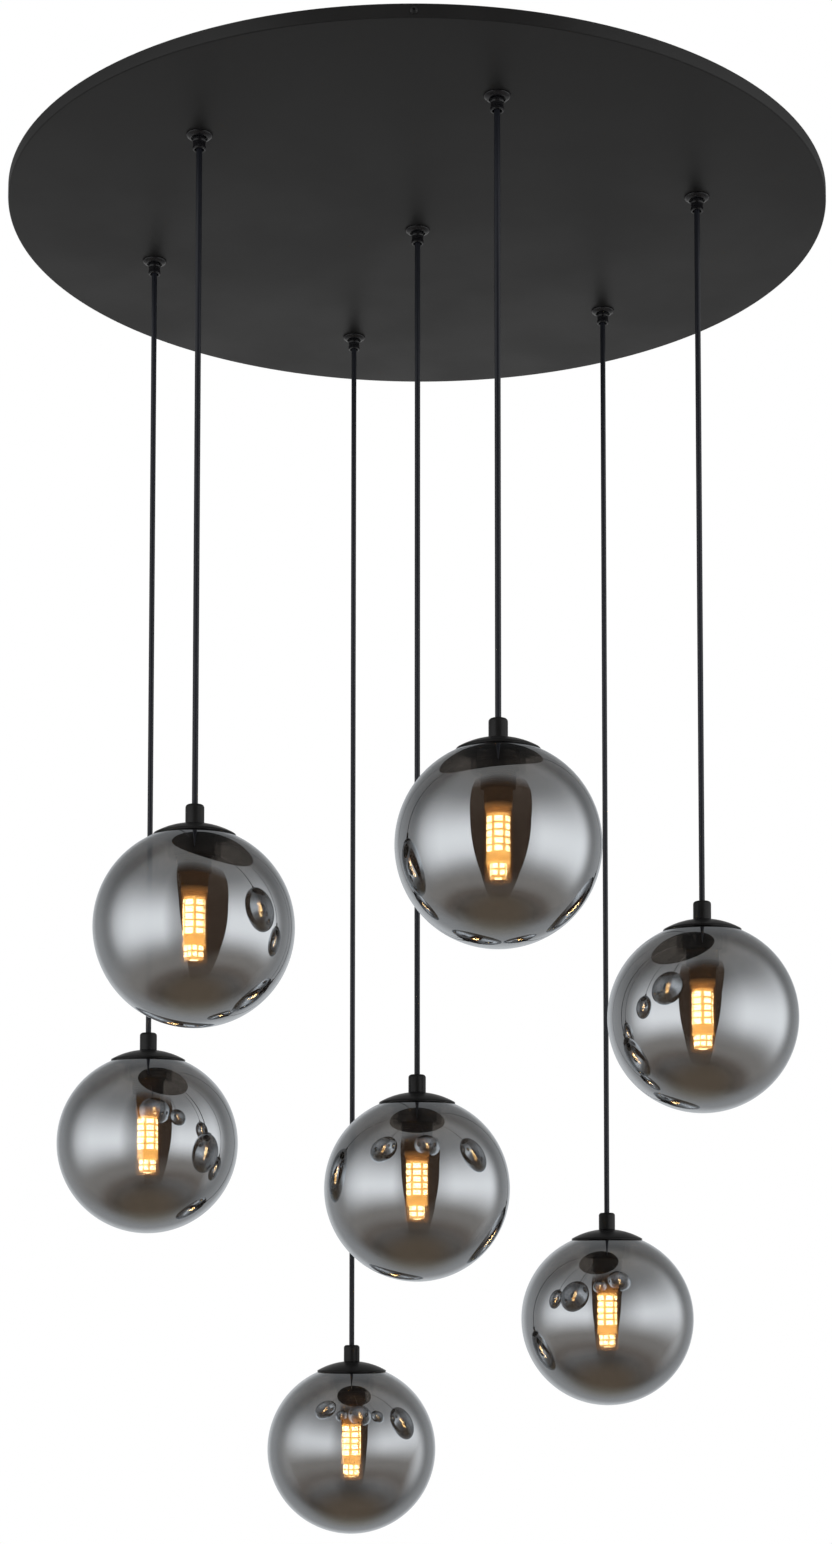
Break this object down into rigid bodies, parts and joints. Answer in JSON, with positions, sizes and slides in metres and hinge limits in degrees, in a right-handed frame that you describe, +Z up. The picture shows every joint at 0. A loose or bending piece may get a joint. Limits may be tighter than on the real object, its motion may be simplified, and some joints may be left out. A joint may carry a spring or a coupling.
{
  "type": "pendant light",
  "caption": "Round ceiling canopy from which smoked glass globes hang on black cords at different heights, each with a bulb inside.",
  "frame": {"origin": "middle of the ceiling face, which is also the middle of the ceiling screws' circle and of the canopy's rim plane", "axes": "+Z up into the ceiling, +X to the picture's right, and -Y towards the camera"},
  "size_m": [0.6599, 0.6616, 1.089],
  "materials": {
    "canopy_black": "satin black powder coat",
    "bracket_steel": "zinc plated, stamped",
    "screw_black": "blackened",
    "gland_black": "glossy black",
    "nut_steel": "zinc plated",
    "lead_brown": "smooth insulation",
    "lead_blue": "smooth insulation",
    "lead_green": "green and yellow insulation",
    "stud_brass": "plain",
    "connector_grey": "moulded, with orange levers",
    "ball_rubber": "matt black",
    "cord_black": "satin black sheath",
    "grip_black": "satin black",
    "cap_black": "satin black",
    "holder_black": "black with a pale nose",
    "bulb_glass": "clear cover over a lit core",
    "smoked_glass": "smoked and half mirrored"
  },
  "bodies": {
    "fixture": {"canopy_disc": "canopy_black", "ceiling_bracket": "bracket_steel", "rim_screws": "screw_black", "gland_bodies": "gland_black", "gland_necks": "gland_black", "gland_nuts": "nut_steel", "live_leads": "lead_brown", "neutral_leads": "lead_blue", "earth_lead": "lead_green", "earth_stud": "stud_brass", "wire_connectors": "connector_grey"},
    "ball_1": {"gland_ball_1": "ball_rubber"},
    "pendant_1": {"cord_1": "cord_black", "cord_grip_1": "grip_black", "cap_1": "cap_black", "lampholder_1": "holder_black"},
    "glass_1": {"globe_1": "smoked_glass"},
    "lamp_1": {"bulb_1": "bulb_glass"},
    "ball_2": {"gland_ball_2": "ball_rubber"},
    "pendant_2": {"cord_2": "cord_black", "cord_grip_2": "grip_black", "cap_2": "cap_black", "lampholder_2": "holder_black"},
    "glass_2": {"globe_2": "smoked_glass"},
    "lamp_2": {"bulb_2": "bulb_glass"},
    "ball_3": {"gland_ball_3": "ball_rubber"},
    "pendant_3": {"cord_3": "cord_black", "cord_grip_3": "grip_black", "cap_3": "cap_black", "lampholder_3": "holder_black"},
    "glass_3": {"globe_3": "smoked_glass"},
    "lamp_3": {"bulb_3": "bulb_glass"},
    "ball_4": {"gland_ball_4": "ball_rubber"},
    "pendant_4": {"cord_4": "cord_black", "cord_grip_4": "grip_black", "cap_4": "cap_black", "lampholder_4": "holder_black"},
    "glass_4": {"globe_4": "smoked_glass"},
    "lamp_4": {"bulb_4": "bulb_glass"},
    "ball_5": {"gland_ball_5": "ball_rubber"},
    "pendant_5": {"cord_5": "cord_black", "cord_grip_5": "grip_black", "cap_5": "cap_black", "lampholder_5": "holder_black"},
    "glass_5": {"globe_5": "smoked_glass"},
    "lamp_5": {"bulb_5": "bulb_glass"},
    "ball_6": {"gland_ball_6": "ball_rubber"},
    "pendant_6": {"cord_6": "cord_black", "cord_grip_6": "grip_black", "cap_6": "cap_black", "lampholder_6": "holder_black"},
    "glass_6": {"globe_6": "smoked_glass"},
    "lamp_6": {"bulb_6": "bulb_glass"},
    "ball_7": {"gland_ball_7": "ball_rubber"},
    "pendant_7": {"cord_7": "cord_black", "cord_grip_7": "grip_black", "cap_7": "cap_black", "lampholder_7": "holder_black"},
    "glass_7": {"globe_7": "smoked_glass"},
    "lamp_7": {"bulb_7": "bulb_glass"}
  },
  "joints": [
    {"name": "swing_fore_aft_1", "type": "hinge", "parent": "fixture", "child": "ball_1", "pos_m": [0, 0, -0.013], "axis": [1, 0, 0], "range_deg": [-5, 5]},
    {"name": "swing_sideways_1", "type": "hinge", "parent": "ball_1", "child": "pendant_1", "pos_m": [0, 0, -0.013], "axis": [0, 1, 0], "range_deg": [-5, 5]},
    {"name": "globe_lower_1", "type": "slide", "parent": "pendant_1", "child": "glass_1", "axis": [0, 0, -1], "range_m": [0, 0.115]},
    {"name": "bulb_pull_1", "type": "slide", "parent": "pendant_1", "child": "lamp_1", "axis": [0, 0, -1], "range_m": [0, 0.015]},
    {"name": "swing_fore_aft_2", "type": "hinge", "parent": "fixture", "child": "ball_2", "pos_m": [0.16264, 0.16264, -0.013], "axis": [1, 0, 0], "range_deg": [-5, 5]},
    {"name": "swing_sideways_2", "type": "hinge", "parent": "ball_2", "child": "pendant_2", "pos_m": [0.16264, 0.16264, -0.013], "axis": [0, 1, 0], "range_deg": [-5, 5]},
    {"name": "globe_lower_2", "type": "slide", "parent": "pendant_2", "child": "glass_2", "axis": [0, 0, -1], "range_m": [0, 0.115]},
    {"name": "bulb_pull_2", "type": "slide", "parent": "pendant_2", "child": "lamp_2", "axis": [0, 0, -1], "range_m": [0, 0.015]},
    {"name": "swing_fore_aft_3", "type": "hinge", "parent": "fixture", "child": "ball_3", "pos_m": [-0.05953, 0.22216, -0.013], "axis": [1, 0, 0], "range_deg": [-5, 5]},
    {"name": "swing_sideways_3", "type": "hinge", "parent": "ball_3", "child": "pendant_3", "pos_m": [-0.05953, 0.22216, -0.013], "axis": [0, 1, 0], "range_deg": [-5, 5]},
    {"name": "globe_lower_3", "type": "slide", "parent": "pendant_3", "child": "glass_3", "axis": [0, 0, -1], "range_m": [0, 0.115]},
    {"name": "bulb_pull_3", "type": "slide", "parent": "pendant_3", "child": "lamp_3", "axis": [0, 0, -1], "range_m": [0, 0.015]},
    {"name": "swing_fore_aft_4", "type": "hinge", "parent": "fixture", "child": "ball_4", "pos_m": [-0.22216, 0.05953, -0.013], "axis": [1, 0, 0], "range_deg": [-5, 5]},
    {"name": "swing_sideways_4", "type": "hinge", "parent": "ball_4", "child": "pendant_4", "pos_m": [-0.22216, 0.05953, -0.013], "axis": [0, 1, 0], "range_deg": [-5, 5]},
    {"name": "globe_lower_4", "type": "slide", "parent": "pendant_4", "child": "glass_4", "axis": [0, 0, -1], "range_m": [0, 0.115]},
    {"name": "bulb_pull_4", "type": "slide", "parent": "pendant_4", "child": "lamp_4", "axis": [0, 0, -1], "range_m": [0, 0.015]},
    {"name": "swing_fore_aft_5", "type": "hinge", "parent": "fixture", "child": "ball_5", "pos_m": [-0.16264, -0.16264, -0.013], "axis": [1, 0, 0], "range_deg": [-5, 5]},
    {"name": "swing_sideways_5", "type": "hinge", "parent": "ball_5", "child": "pendant_5", "pos_m": [-0.16264, -0.16264, -0.013], "axis": [0, 1, 0], "range_deg": [-5, 5]},
    {"name": "globe_lower_5", "type": "slide", "parent": "pendant_5", "child": "glass_5", "axis": [0, 0, -1], "range_m": [0, 0.115]},
    {"name": "bulb_pull_5", "type": "slide", "parent": "pendant_5", "child": "lamp_5", "axis": [0, 0, -1], "range_m": [0, 0.015]},
    {"name": "swing_fore_aft_6", "type": "hinge", "parent": "fixture", "child": "ball_6", "pos_m": [0.05953, -0.22216, -0.013], "axis": [1, 0, 0], "range_deg": [-5, 5]},
    {"name": "swing_sideways_6", "type": "hinge", "parent": "ball_6", "child": "pendant_6", "pos_m": [0.05953, -0.22216, -0.013], "axis": [0, 1, 0], "range_deg": [-5, 5]},
    {"name": "globe_lower_6", "type": "slide", "parent": "pendant_6", "child": "glass_6", "axis": [0, 0, -1], "range_m": [0, 0.115]},
    {"name": "bulb_pull_6", "type": "slide", "parent": "pendant_6", "child": "lamp_6", "axis": [0, 0, -1], "range_m": [0, 0.015]},
    {"name": "swing_fore_aft_7", "type": "hinge", "parent": "fixture", "child": "ball_7", "pos_m": [0.22216, -0.05953, -0.013], "axis": [1, 0, 0], "range_deg": [-5, 5]},
    {"name": "swing_sideways_7", "type": "hinge", "parent": "ball_7", "child": "pendant_7", "pos_m": [0.22216, -0.05953, -0.013], "axis": [0, 1, 0], "range_deg": [-5, 5]},
    {"name": "globe_lower_7", "type": "slide", "parent": "pendant_7", "child": "glass_7", "axis": [0, 0, -1], "range_m": [0, 0.115]},
    {"name": "bulb_pull_7", "type": "slide", "parent": "pendant_7", "child": "lamp_7", "axis": [0, 0, -1], "range_m": [0, 0.015]}
  ]
}
